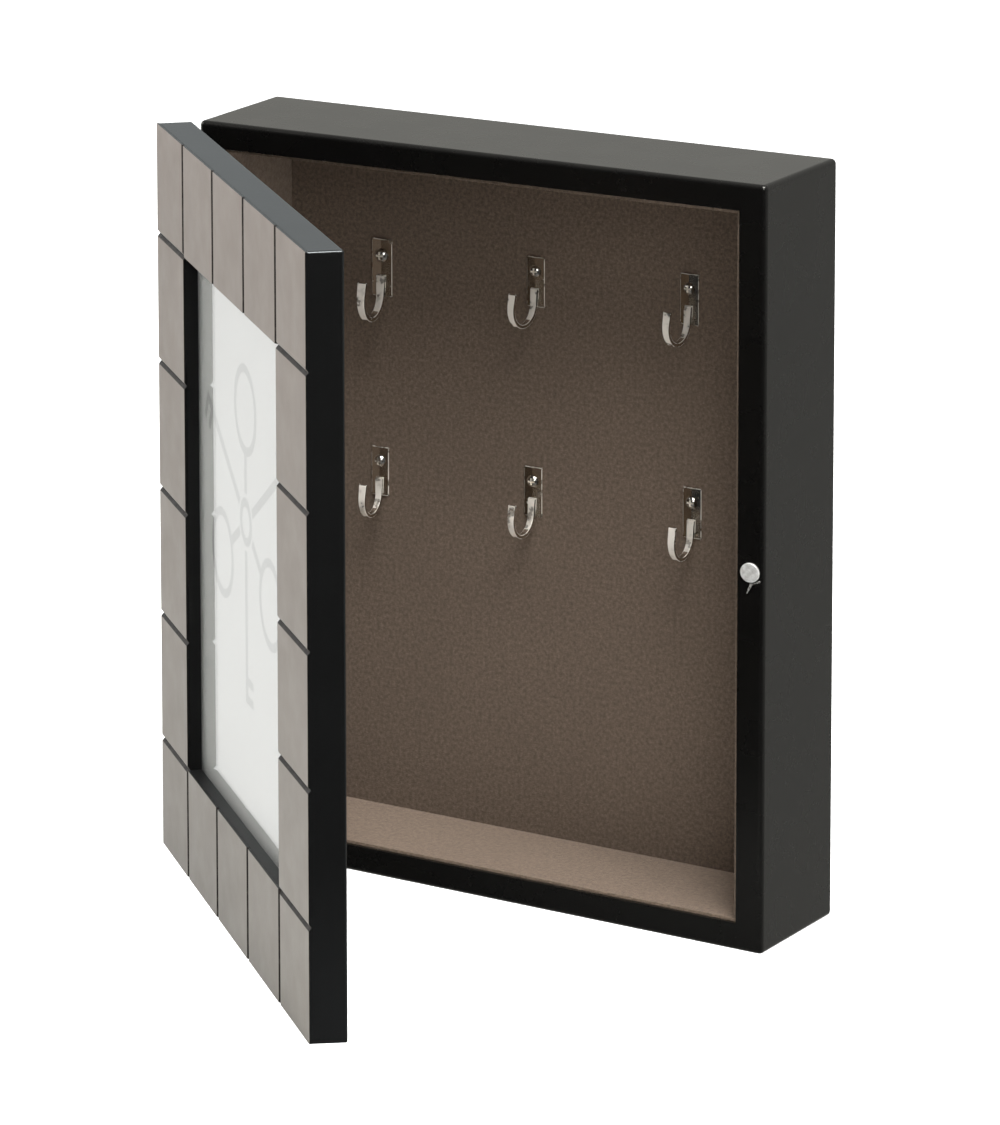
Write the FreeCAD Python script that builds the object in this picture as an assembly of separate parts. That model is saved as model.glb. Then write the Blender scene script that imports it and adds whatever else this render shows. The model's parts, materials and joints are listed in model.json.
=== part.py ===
import FreeCAD, Part
import math
import os

# Wall-mounted key cabinet: a lined box of lacquered board with six key hooks, and a framed, hinged door
# faced with bevelled tiles around a picture window.
#
# Millimetres. X is right, Y goes into the wall, Z is up. The origin is the centre of the wall face.
# The door is designed shut, then turned about its hinge pins to the rest pose, DOOR_OPEN degrees open.

V = FreeCAD.Vector

# ---- driving dimensions -------------------------------------------------------------------------------

CASE_WIDTH = 200.0
CASE_HEIGHT = 250.0
CASE_DEPTH = 50.0
BOARD = 9.0                     # thickness of the four case boards
CASE_ROUND = 1.6                # radius of the case's outer edges
RIM_ROUND = 0.5                 # radius of the case's inner front edge
MITRE_PAST = 20.0               # how far the wedges that part the boards run past the case
BACK_THICK = 6.0                # back board, let into a rabbet from behind
RABBET = 4.5                    # width of that rabbet
FIT_GAP = 0.2                   # play around loose boards and glass
LINING = 1.0                    # lining card
LINING_SETBACK = 1.5            # from the case's front edges to the linings

DOOR_GAP = 1.6                  # between door and case, filled by the hinge leaves
DOOR_THICK = 12.0
DOOR_OPEN = 46.5                # degrees open at rest
DOOR_ROUND = 0.8                # radius of the door's outer edges
BORDER = 37.5                   # width of the door frame around the window
TILE_THICK = 0.9                # also the depth of the V grooves between tiles
GROOVE_WIDTH = 2.2
WINDOW_COLUMNS = 3              # tiles along the window's top and bottom
WINDOW_ROWS = 4                 # tiles along the window's sides
GLASS_DEPTH = 4.8               # from the tiles' face to the glass
LIP = 3.0                       # how far the door frame laps over the glass
GLASS_THICK = 2.0
CARD_GAP = 0.1                  # air between the glass and the card
CARD_THICK = 0.4
PAD_THICK = 1.8

HINGE_HEIGHT = 25.0
HINGE_SPACING = 160.0           # between the two hinges' centres
HINGE_REACH = 1.5               # from the case's side to the pin's axis
LEAF_WIDTH = 7.5
LEAF_THICK = 0.75
LEAF_CORNER = 1.5
KNUCKLE_R = 1.5
PIN_R = 0.7
PIN_HEAD_R = 1.1
PIN_HEAD_THICK = 0.6
RUN_CLEAR = 0.05                # radial running clearance
KNUCKLE_GAP = 0.1
HINGE_SCREW = dict(shank_r=0.8, head_r=1.6, length=7.5)
HINGE_SCREW_INSET = 4.3         # from the case's side to the screws
HINGE_SCREW_SPACING = 15.0

MAGNET_R = 3.15
MAGNET_THICK = 3.0
MAGNET_PROUD = 0.7              # of the case; the door's is flush
MAGNET_RIM = 0.3                # radius of the rim

HOOK_PLATE_WIDTH = 6.3
HOOK_PLATE_HEIGHT = 16.8
HOOK_PLATE_EDGE = 0.6           # plate thickness at its sides
HOOK_PLATE_RIDGE = 1.1          # plate thickness along its middle ridge
HOOK_PLATE_CORNER = 0.7
HOOK_RING_R = 6.6               # centre line of the J's round part
HOOK_RING_OUT = 8.25            # from the lining to the J's centre
HOOK_RING_DOWN = 15.4           # from the plate's top to the J's centre
HOOK_WIRE = 1.3                 # thickness of the J
HOOK_TOP_WIDTH = 2.5            # width of the J at its root and tip
HOOK_LOW_WIDTH = 1.7            # width of the J at its lowest point
HOOK_ROOT_DOWN = 10.6           # from the plate's top to the root of the J
HOOK_TIP_ANGLE = 12.0           # how far the J's round part runs past level, in degrees
HOOK_TIP_STRAIGHT = 3.2         # straight end of the J after that, before its round nose
HOOK_SCREW_DOWN = 4.8
HOOK_SCREW = dict(shank_r=0.9, head_r=2.05, dome=1.13, depth=4.6)
CROSS_HALF_WIDE = 0.3           # the cross recess in a hook's screw
CROSS_HALF_LONG = 1.15
CROSS_DEPTH = 0.73

# Each hook's plate centre, the height of its top edge, its size against the plain hook, and how many
# degrees its J is bent to the right.
HOOKS = {
    "key_hook_upper_left": (-56.0, 81.8, 1.17, 5.0),
    "key_hook_upper_middle": (-0.1, 82.3, 1.0, -5.0),
    "key_hook_upper_right": (53.8, 83.2, 1.0, -3.5),
    "key_hook_lower_left": (-57.0, 10.0, 1.0, 4.5),
    "key_hook_lower_middle": (-1.0, 11.1, 1.0, -1.5),
    "key_hook_lower_right": (55.0, 12.2, 1.0, 0.0),
}

HANGER_SPACING = 140.0          # between the two keyholes
HANGER_HEIGHT = 90.0            # plate centres above the cabinet's middle
HANGER_SIZE = (14.0, 36.0, 1.0)  # width, height and thickness of a plate
HANGER_CORNER = 4.0
KEYHOLE_ENTRY_R = 4.25
KEYHOLE_SLOT_R = 2.25
KEYHOLE_RISE = 9.0
KEYHOLE_DROP = 5.0              # from the plate's centre down to the entry hole
KEYHOLE_POCKET = (10.0, 3.5)    # width and depth of the room behind the plate
HANGER_SCREW = dict(shank_r=0.9, head_r=1.6, length=5.0)
HANGER_SCREW_SPACING = 30.0

BRAD = dict(shank_r=0.6, head_r=1.1, length=12.0)
BRAD_HEAD = 0.6
BRAD_INSET = 2.2                # from the back board's edge
BRAD_LEVELS = (-0.85, 0.0, 0.85)    # up the sides, as shares of the half height
BRAD_COLUMNS = (-0.5, 0.5)      # along top and bottom, as shares of the half width

BUTTON_WIDTH = 6.0
BUTTON_REACH = 10.0             # from the pivot to the end of the tongue
BUTTON_THICK = 0.8
BUTTON_PIVOT = 5.0              # from the edge of the backing board to the pivot
BUTTON_HEIGHT = 50.0            # pivots above and below the middle
BUTTON_SCREW = dict(shank_r=1.25, head_r=2.2, length=6.0)
BUTTON_HEAD_THICK = 1.2
BUTTON_HEAD_ROUND = 0.6

SLOT_WIDTH = 0.5                # driver slots: share of the head's radius
SLOT_DEPTH = 0.4

# ---- worked out ---------------------------------------------------------------------------------------

HALF_W = CASE_WIDTH / 2
HALF_H = CASE_HEIGHT / 2
INNER_W = CASE_WIDTH - 2 * BOARD
INNER_H = CASE_HEIGHT - 2 * BOARD
CASE_FRONT = -CASE_DEPTH
BACK_FRONT = -BACK_THICK
LINING_FACE = BACK_FRONT - LINING
DOOR_BACK = CASE_FRONT - DOOR_GAP
DOOR_FRONT = DOOR_BACK - DOOR_THICK
TILE_BACK = DOOR_FRONT + TILE_THICK
GLASS_FRONT = DOOR_FRONT + GLASS_DEPTH
WINDOW_W = CASE_WIDTH - 2 * BORDER
WINDOW_H = CASE_HEIGHT - 2 * BORDER
REBATE_W = WINDOW_W + 2 * LIP
REBATE_H = WINDOW_H + 2 * LIP
HINGE_X = -HALF_W - HINGE_REACH
HINGE_Y = CASE_FRONT - DOOR_GAP / 2
MAGNET_X = HALF_W - BOARD / 2


# ---- helpers ------------------------------------------------------------------------------------------

def box(x0, x1, y0, y1, z0, z1):
    """A box between two corners."""
    return Part.makeBox(x1 - x0, y1 - y0, z1 - z0, V(x0, y0, z0))


def slab(width, height, y0, y1):
    """A box centred on the Y axis."""
    return box(-width / 2, width / 2, y0, y1, -height / 2, height / 2)


def rod(radius, x, y0, y1, z):
    """A round bar along Y."""
    return Part.makeCylinder(radius, y1 - y0, V(x, y0, z), V(0, 1, 0))


def open_door(shape):
    """Turn a shut-door shape to the rest pose."""
    turned = shape.copy()
    turned.rotate(V(HINGE_X, HINGE_Y, 0), V(0, 0, 1), -DOOR_OPEN)
    return turned


def round_edges(shape, radius, wanted):
    """Fillet the edges for which wanted(edge) is true."""
    edges = [edge for edge in shape.Edges if wanted(edge)]
    return shape.makeFillet(radius, edges)


def group(solids):
    """Separate solids kept in one node."""
    return Part.makeCompound(solids)


def countersunk_screw(size, x, y, z, way):
    """A flat-head screw with its head's face at y, running towards way (+1 or -1) along Y."""
    cone = size["head_r"] - size["shank_r"]
    axis = V(0, way, 0)
    head = Part.makeCone(size["head_r"], size["shank_r"], cone, V(x, y, z), axis)
    shank = Part.makeCylinder(size["shank_r"], size["length"] - cone, V(x, y + way * cone, z), axis)
    return head.fuse(shank).removeSplitter()


def slotted(screw, size, x, y, z, way):
    """Cut a driver slot across a screw head whose face is at y."""
    head_r = size["head_r"]
    half_wide = SLOT_WIDTH * head_r / 2
    low = min(y, y + way * SLOT_DEPTH)
    return screw.cut(box(x - head_r, x + head_r, low, low + SLOT_DEPTH, z - half_wide, z + half_wide))


# ---- case ---------------------------------------------------------------------------------------------

def case_ring():
    """The four case boards as one piece, before the corners are mitred."""
    ring = slab(CASE_WIDTH, CASE_HEIGHT, CASE_FRONT, 0)
    ring = round_edges(ring, CASE_ROUND, lambda edge: True)
    ring = ring.cut(slab(INNER_W, INNER_H, CASE_FRONT, 0))
    ring = ring.cut(slab(INNER_W + 2 * RABBET, INNER_H + 2 * RABBET, BACK_FRONT, 0))

    def is_front_rim(edge):
        middle = edge.CenterOfMass
        inside = abs(middle.x) < INNER_W / 2 + 0.1 and abs(middle.z) < INNER_H / 2 + 0.1
        return inside and edge.BoundBox.YMax < CASE_FRONT + 0.1
    ring = round_edges(ring, RIM_ROUND, is_front_rim)
    ring = ring.cut(case_bores())
    return ring


def case_bores():
    """The holes in the case boards for the magnet, the hinge screws and the brads."""
    bores = [magnet_disc(CASE_FRONT - MAGNET_PROUD, +1)]
    bores += case_hinge_screw_list(False)
    bores += brad_list()
    return group(bores)


def mitre_wedge(is_level):
    """A prism around the top board (is_level) or the left one, with its flanks on the corner mitres."""
    across = HALF_H - HALF_W                      # how far up the mitres meet the middle plane
    past = HALF_W + MITRE_PAST
    middle = V(0, 0, across)
    corner = V(-past, 0, across + past)
    if is_level:
        outline = [middle, corner, V(past, 0, across + past)]
    else:
        outline = [middle, corner, V(-past, 0, -across - past), V(0, 0, -across)]
    wedge = Part.Face(Part.makePolygon(outline + [middle]))
    wedge.translate(V(0, CASE_FRONT - MITRE_PAST, 0))
    return wedge.extrude(V(0, CASE_DEPTH + 2 * MITRE_PAST, 0))


def mitred(ring, side):
    """One board of the ring, cut off along the corner mitres. side is top, bottom, left or right."""
    wedge = mitre_wedge(side in ("top", "bottom"))
    if side == "bottom":
        wedge = wedge.mirror(V(0, 0, 0), V(0, 0, 1))
    if side == "right":
        wedge = wedge.mirror(V(0, 0, 0), V(1, 0, 0))
    return ring.common(wedge)


def back_board_size():
    """Width and height of the back board in its rabbet."""
    return INNER_W + 2 * RABBET - 2 * FIT_GAP, INNER_H + 2 * RABBET - 2 * FIT_GAP


def back_panel():
    """The back board, with pockets for the hanger plates and holes for every screw."""
    width, height = back_board_size()
    board = slab(width, height, BACK_FRONT, 0)
    for x in (-HANGER_SPACING / 2, HANGER_SPACING / 2):
        board = board.cut(hanger_outline(x))
        board = board.cut(hanger_room(x))
    return board.cut(group(brad_list() + hanger_screw_list() + hook_screw_shanks()))


def brad_places():
    """Centres of the brads along the edge of the back board."""
    width, height = back_board_size()
    x = width / 2 - BRAD_INSET
    z = height / 2 - BRAD_INSET
    places = []
    for side in (-1, 1):
        places += [(side * x, level * z) for level in BRAD_LEVELS]
        places += [(column * x, side * z) for column in BRAD_COLUMNS]
    return places


def brad_list():
    """Flat-headed brads driven through the back board into the case."""
    brads = []
    for x, z in brad_places():
        head = rod(BRAD["head_r"], x, -BRAD_HEAD, 0, z)
        shank = rod(BRAD["shank_r"], x, -BRAD["length"], -BRAD_HEAD, z)
        brads.append(head.fuse(shank).removeSplitter())
    return brads


# ---- linings ------------------------------------------------------------------------------------------

def back_lining():
    """Card over the whole back board, holed for the hook screws."""
    card = slab(INNER_W, INNER_H, LINING_FACE, BACK_FRONT)
    return card.cut(group(hook_screw_shanks()))


def side_lining(side):
    """Card on the left (-1) or right (+1) board."""
    edge = INNER_W / 2
    low, high = sorted((side * edge, side * (edge - LINING)))
    inner = INNER_H / 2 - LINING
    return box(low, high, CASE_FRONT + LINING_SETBACK, LINING_FACE, -inner, inner)


def level_lining(side):
    """Card on the bottom (-1) or top (+1) board."""
    edge = INNER_H / 2
    low, high = sorted((side * edge, side * (edge - LINING)))
    return box(-INNER_W / 2, INNER_W / 2, CASE_FRONT + LINING_SETBACK, LINING_FACE, low, high)


# ---- key hooks ----------------------------------------------------------------------------------------

def hook_plate():
    """The ridged plate at size 1, its back at y = 0 and its top at z = 0, with its screw hole."""
    half = HOOK_PLATE_WIDTH / 2
    outline = [V(-half, 0, 0), V(half, 0, 0), V(half, -HOOK_PLATE_EDGE, 0), V(0, -HOOK_PLATE_RIDGE, 0),
               V(-half, -HOOK_PLATE_EDGE, 0), V(-half, 0, 0)]
    plate = Part.Face(Part.makePolygon(outline)).extrude(V(0, 0, -HOOK_PLATE_HEIGHT))

    def is_corner(edge):
        is_flat = abs(edge.tangentAt(edge.FirstParameter).y) > 0.9
        return is_flat and abs(abs(edge.CenterOfMass.x) - half) < 0.1
    return round_edges(plate, HOOK_PLATE_CORNER, is_corner)


def hook_profile():
    """The J at size 1 in the plane x = 0: a root against the plate and most of a ring."""
    outer = HOOK_RING_R + HOOK_WIRE / 2
    inner = HOOK_RING_R - HOOK_WIRE / 2
    centre = V(0, -HOOK_RING_OUT, -HOOK_RING_DOWN)
    root_back = V(0, -HOOK_PLATE_RIDGE / 2, -HOOK_ROOT_DOWN)
    root_front = root_back + V(0, -HOOK_WIRE, 0)
    start = 180.0                                 # degrees round the ring: level, on the plate's side
    low = 270.0
    tip = 360.0 + HOOK_TIP_ANGLE

    def on_ring(radius, degrees):
        turn = math.radians(degrees)
        return centre + V(0, -radius * math.cos(turn), radius * math.sin(turn))

    turn = math.radians(tip)
    along = V(0, math.sin(turn), math.cos(turn))  # the way the straight end runs
    outer_end = on_ring(outer, tip) + along * HOOK_TIP_STRAIGHT
    inner_end = on_ring(inner, tip) + along * HOOK_TIP_STRAIGHT
    nose_tip = (outer_end + inner_end) / 2 + along * (HOOK_WIRE / 2)

    outside = Part.Arc(on_ring(outer, start), on_ring(outer, low), on_ring(outer, tip)).toShape()
    outer_side = Part.makeLine(on_ring(outer, tip), outer_end)
    nose = Part.Arc(outer_end, nose_tip, inner_end).toShape()
    inner_side = Part.makeLine(inner_end, on_ring(inner, tip))
    inside = Part.Arc(on_ring(inner, tip), on_ring(inner, low), on_ring(inner, start)).toShape()
    root = Part.makePolygon([on_ring(inner, start), root_front, root_back, on_ring(outer, start)])
    return Part.Face(Part.Wire([outside, outer_side, nose, inner_side, inside] + root.Edges))


def hook_arm():
    """The J at size 1, wide at its root and tip and narrow at its lowest point."""
    outer = HOOK_RING_R + HOOK_WIRE / 2
    half_top = HOOK_TOP_WIDTH / 2
    half_low = HOOK_LOW_WIDTH / 2
    lowest = -HOOK_RING_DOWN - outer
    depth = HOOK_RING_OUT + outer
    sheet = hook_profile()
    sheet.translate(V(-half_top, 0, 0))
    arm = sheet.extrude(V(HOOK_TOP_WIDTH, 0, 0))
    outline = [V(-half_top, 0, 0), V(half_top, 0, 0), V(half_top, 0, -HOOK_ROOT_DOWN), V(half_low, 0, lowest),
               V(-half_low, 0, lowest), V(-half_top, 0, -HOOK_ROOT_DOWN)]
    taper = Part.Face(Part.makePolygon(outline + outline[:1]))
    return arm.common(taper.extrude(V(0, -depth, 0)))


def key_hook(place):
    """One hook: plate and J in one piece, at its place on the lining."""
    x, top, size, bend = place
    arm = hook_arm()
    arm.rotate(V(0, 0, 0), V(0, 0, 1), bend)
    hook = hook_plate().fuse(arm).removeSplitter()
    hook.scale(size)
    hook.translate(V(x, LINING_FACE, top))
    ridge = LINING_FACE - HOOK_PLATE_RIDGE * size
    return hook.cut(rod(HOOK_SCREW["shank_r"], x, ridge, LINING_FACE, hook_screw_height(place)))


def hook_screw_height(place):
    """Height of a hook's screw."""
    return place[1] - HOOK_SCREW_DOWN * place[2]


def hook_screw_shanks():
    """The parts of the screws behind the lining's face, used to hole the lining and the back board."""
    return [rod(HOOK_SCREW["shank_r"], place[0], LINING_FACE, LINING_FACE + HOOK_SCREW["depth"],
                hook_screw_height(place)) for place in HOOKS.values()]


def hook_screw(place):
    """A round-head screw with a cross recess, its head seated on the plate's ridge."""
    x, _, size, _ = place
    z = hook_screw_height(place)
    seat = LINING_FACE - HOOK_PLATE_RIDGE * size
    head_r = HOOK_SCREW["head_r"] * size
    dome = HOOK_SCREW["dome"] * size
    ball_r = (head_r ** 2 + dome ** 2) / (2 * dome)
    ball = Part.makeSphere(ball_r, V(x, seat - dome + ball_r, z))
    head = ball.common(rod(head_r, x, seat - dome, seat, z))
    shank = rod(HOOK_SCREW["shank_r"], x, seat, LINING_FACE + HOOK_SCREW["depth"], z)
    screw = head.fuse(shank).removeSplitter()
    wide, tall = CROSS_HALF_WIDE * size, CROSS_HALF_LONG * size
    top, floor = seat - dome, seat - dome + CROSS_DEPTH * size
    upright = box(x - wide, x + wide, top, floor, z - tall, z + tall)
    level = box(x - tall, x + tall, top, floor, z - wide, z + wide)
    return screw.cut(upright.fuse(level))


# ---- magnets ------------------------------------------------------------------------------------------

def magnet_disc(face, way):
    """A magnet whose face is at y = face, let in towards way (+1 or -1) along Y."""
    low = min(face, face + way * MAGNET_THICK)
    return rod(MAGNET_R, MAGNET_X, low, low + MAGNET_THICK, 0)


def rounded_magnet(face, way):
    """The magnet with its sharp rims eased."""
    disc = magnet_disc(face, way)
    return round_edges(disc, MAGNET_RIM, lambda edge: abs(edge.CenterOfMass.y - face) < 0.01)


# ---- hinges -------------------------------------------------------------------------------------------

def hinge_heights():
    """Centres of the lower and the upper hinge."""
    return (-HINGE_SPACING / 2, HINGE_SPACING / 2)


def knuckle(low, high, bore_r):
    """A hollow barrel about the hinge axis."""
    start = V(HINGE_X, HINGE_Y, low)
    barrel = Part.makeCylinder(KNUCKLE_R, high - low, start)
    return barrel.cut(Part.makeCylinder(bore_r, high - low, start))


def leaf(middle, way):
    """A hinge leaf. way is +1 for the one on the case and -1 for the one on the shut door."""
    third = HINGE_HEIGHT / 3
    starts = [middle - HINGE_HEIGHT / 2 + index * third for index in range(3)]
    if way > 0:
        own, others = [starts[0], starts[2]], [starts[1]]
        wood, bore_r, gap = CASE_FRONT, PIN_R, 0.0
    else:
        own, others = [starts[1]], [starts[0], starts[2]]
        wood, bore_r, gap = DOOR_BACK, PIN_R + RUN_CLEAR, KNUCKLE_GAP

    far_edge = -HALF_W + LEAF_WIDTH
    low, high = sorted((wood, wood - way * LEAF_THICK))
    sheet = box(HINGE_X + PIN_R + RUN_CLEAR, far_edge, low, high, starts[0], starts[0] + HINGE_HEIGHT)
    clear_r = KNUCKLE_R + KNUCKLE_GAP
    for start in others:
        sheet = sheet.cut(box(HINGE_X - clear_r, HINGE_X + clear_r, HINGE_Y - clear_r, HINGE_Y + clear_r,
                              start - gap, start + third + gap))
    for start in own:
        sheet = sheet.fuse(knuckle(start + gap, start + third - gap, bore_r))

    def is_far_corner(edge):
        is_flat = abs(edge.tangentAt(edge.FirstParameter).y) > 0.9
        return is_flat and abs(edge.CenterOfMass.x - far_edge) < 0.01
    return round_edges(sheet.removeSplitter(), LEAF_CORNER, is_far_corner)


def hinge_screw_list(face, way, is_slotted):
    """Both screws of both hinges' leaves on one side, heads flush with the leaves' faces."""
    screws = []
    x = -HALF_W + HINGE_SCREW_INSET
    for middle in hinge_heights():
        for z in (middle - HINGE_SCREW_SPACING / 2, middle + HINGE_SCREW_SPACING / 2):
            screw = countersunk_screw(HINGE_SCREW, x, face, z, way)
            if is_slotted:
                screw = slotted(screw, HINGE_SCREW, x, face, z, way)
            screws.append(screw)
    return screws


def case_hinge_screw_list(is_slotted):
    """The hinge screws that go into the left case board."""
    return hinge_screw_list(CASE_FRONT - LEAF_THICK, +1, is_slotted)


def door_hinge_screw_list(is_slotted):
    """The hinge screws that go into the door frame."""
    return hinge_screw_list(DOOR_BACK + LEAF_THICK, -1, is_slotted)


def hinge_pin(middle):
    """A hinge pin with a flat head at its top and a peened foot."""
    bottom = middle - HINGE_HEIGHT / 2
    head = PIN_HEAD_THICK
    pin = Part.makeCylinder(PIN_R, HINGE_HEIGHT + 2 * head, V(HINGE_X, HINGE_Y, bottom - head))
    cap = Part.makeCylinder(PIN_HEAD_R, head, V(HINGE_X, HINGE_Y, bottom + HINGE_HEIGHT))
    foot = Part.makeCylinder(PIN_HEAD_R, head, V(HINGE_X, HINGE_Y, bottom - head))
    return pin.fuse([cap, foot]).removeSplitter()


# ---- hangers ------------------------------------------------------------------------------------------

def hanger_outline(x):
    """The hanger plate's outer shape, flush with the wall face."""
    width, height, thick = HANGER_SIZE
    low, high = HANGER_HEIGHT - height / 2, HANGER_HEIGHT + height / 2
    plate = box(x - width / 2, x + width / 2, -thick, 0, low, high)
    return round_edges(plate, HANGER_CORNER, lambda edge: abs(edge.tangentAt(edge.FirstParameter).y) > 0.9)


def keyhole_entry_height():
    """Height of the keyholes' entry circles."""
    return HANGER_HEIGHT - KEYHOLE_DROP


def keyhole_slot(x, radius, y0, y1):
    """A slot with round ends, from the entry circle's centre up to the hanging place."""
    z = keyhole_entry_height()
    slot = box(x - radius, x + radius, y0, y1, z, z + KEYHOLE_RISE)
    return slot.fuse([rod(radius, x, y0, y1, z), rod(radius, x, y0, y1, z + KEYHOLE_RISE)])


def hanger_room(x):
    """The room in the back board for the head of the wall screw."""
    width, depth = KEYHOLE_POCKET
    thick = HANGER_SIZE[2]
    return keyhole_slot(x, width / 2, -thick - depth, -thick)


def hanger_plate(x):
    """A keyhole hanger plate with countersunk holes."""
    thick = HANGER_SIZE[2]
    plate = hanger_outline(x)
    plate = plate.cut(keyhole_slot(x, KEYHOLE_SLOT_R, -thick, 0))
    plate = plate.cut(rod(KEYHOLE_ENTRY_R, x, -thick, 0, keyhole_entry_height()))
    return plate.cut(group(hanger_screw_list())).removeSplitter()


def hanger_screw_list(is_slotted=False):
    """Two countersunk screws for each hanger plate."""
    screws = []
    for x in (-HANGER_SPACING / 2, HANGER_SPACING / 2):
        for side in (-1, 1):
            z = HANGER_HEIGHT + side * HANGER_SCREW_SPACING / 2
            screw = countersunk_screw(HANGER_SCREW, x, 0, z, -1)
            if is_slotted:
                screw = slotted(screw, HANGER_SCREW, x, 0, z, -1)
            screws.append(screw)
    return screws


# ---- door ---------------------------------------------------------------------------------------------

def door_frame():
    """The door's board: window, rebate for the glass behind it, and the holes for the fittings."""
    board = slab(CASE_WIDTH, CASE_HEIGHT, TILE_BACK, DOOR_BACK)

    def is_outer(edge):
        return edge.CenterOfMass.y > TILE_BACK + 0.1
    board = round_edges(board, DOOR_ROUND, is_outer)
    board = board.cut(slab(WINDOW_W, WINDOW_H, TILE_BACK, DOOR_BACK))
    board = board.cut(slab(REBATE_W, REBATE_H, GLASS_FRONT, DOOR_BACK))
    bores = [magnet_disc(DOOR_BACK, -1)]
    bores += door_hinge_screw_list(False)
    bores += button_screw_shanks()
    return board.cut(group(bores))


def tile_lines(outer, window, count):
    """Where the tiles' edges fall along one side of the door."""
    step = window / count
    return [-outer / 2] + [-window / 2 + step * index for index in range(count + 1)] + [outer / 2]


def tile(x0, x1, z0, z1, bevels):
    """One tile, sloped into the groove on the sides named in bevels (left, right, bottom, top)."""
    def outline(y, inset):
        left = x0 + inset * ("left" in bevels)
        right = x1 - inset * ("right" in bevels)
        bottom = z0 + inset * ("bottom" in bevels)
        top = z1 - inset * ("top" in bevels)
        return Part.makePolygon([V(left, y, bottom), V(right, y, bottom), V(right, y, top), V(left, y, top),
                                 V(left, y, bottom)])
    return Part.makeLoft([outline(TILE_BACK, 0), outline(DOOR_FRONT, GROOVE_WIDTH / 2)], True, True)


def face_tiles():
    """All the face tiles by name, counted from the left or from the top."""
    columns = tile_lines(CASE_WIDTH, WINDOW_W, WINDOW_COLUMNS)
    rows = tile_lines(CASE_HEIGHT, WINDOW_H, WINDOW_ROWS)
    last_column = len(columns) - 2
    last_row = len(rows) - 2
    tiles = {}
    for index in range(last_column + 1):
        sides = {"left"} if index > 0 else set()
        sides |= {"right"} if index < last_column else set()
        is_corner = index in (0, last_column)
        x0, x1 = columns[index], columns[index + 1]
        top_sides = sides | ({"bottom"} if is_corner else set())
        bottom_sides = sides | ({"top"} if is_corner else set())
        tiles[f"face_tile_top_{index + 1}"] = tile(x0, x1, rows[-2], rows[-1], top_sides)
        tiles[f"face_tile_bottom_{index + 1}"] = tile(x0, x1, rows[0], rows[1], bottom_sides)
    for index in range(1, last_row):
        z0, z1 = rows[index], rows[index + 1]
        name = last_row - index
        tiles[f"face_tile_left_{name}"] = tile(columns[0], columns[1], z0, z1, {"bottom", "top"})
        tiles[f"face_tile_right_{name}"] = tile(columns[-2], columns[-1], z0, z1, {"bottom", "top"})
    return tiles


def window_stack():
    """Glass, printed card, card pad and backing board, from front to back."""
    width = REBATE_W - 2 * FIT_GAP
    height = REBATE_H - 2 * FIT_GAP
    glass_back = GLASS_FRONT + GLASS_THICK
    card = glass_back + CARD_GAP
    pad = card + CARD_THICK
    backing = pad + PAD_THICK
    return {
        "window_glass": slab(width, height, GLASS_FRONT, glass_back),
        "insert_card": slab(width, height, card, pad),
        "insert_pad": slab(width, height, pad, backing),
        "backing_board": slab(width, height, backing, DOOR_BACK),
    }


# ---- turn buttons -------------------------------------------------------------------------------------

def button_places():
    """Pivot of each turn button on the shut door: name, side (-1 left, +1 right), x and z."""
    x = REBATE_W / 2 + BUTTON_PIVOT
    return [("turn_button_upper_left", -1, -x, BUTTON_HEIGHT),
            ("turn_button_upper_right", 1, x, BUTTON_HEIGHT),
            ("turn_button_lower_left", -1, -x, -BUTTON_HEIGHT),
            ("turn_button_lower_right", 1, x, -BUTTON_HEIGHT)]


def turn_button(side, x, z):
    """A flat swivelling tongue that holds the backing board in its rebate."""
    low = DOOR_BACK + RUN_CLEAR
    high = low + BUTTON_THICK
    half = BUTTON_WIDTH / 2
    end = x - side * (BUTTON_REACH - half)
    body = rod(half, x, low, high, z).fuse([rod(half, end, low, high, z),
                                            box(min(x, end), max(x, end), low, high, z - half, z + half)])
    body = body.removeSplitter()
    return body.cut(rod(BUTTON_SCREW["shank_r"] + RUN_CLEAR, x, low, high, z))


def button_screw_shanks():
    """The turn-button screws' shanks, from the face of the buttons into the door frame."""
    face = DOOR_BACK + BUTTON_THICK + 2 * RUN_CLEAR
    return [rod(BUTTON_SCREW["shank_r"], x, face - BUTTON_SCREW["length"], face, z)
            for _, _, x, z in button_places()]


def button_screw_list():
    """Pan-head screws that the turn buttons swivel on."""
    face = DOOR_BACK + BUTTON_THICK + 2 * RUN_CLEAR
    top = face + BUTTON_HEAD_THICK
    screws = []
    for (_, _, x, z), shank in zip(button_places(), button_screw_shanks()):
        head = rod(BUTTON_SCREW["head_r"], x, face, top, z)
        head = round_edges(head, BUTTON_HEAD_ROUND, lambda edge: abs(edge.CenterOfMass.y - top) < 0.01)
        screw = head.fuse(shank).removeSplitter()
        screws.append(slotted(screw, BUTTON_SCREW, x, top, z, -1))
    return screws


# ---- assembly -----------------------------------------------------------------------------------------

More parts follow.
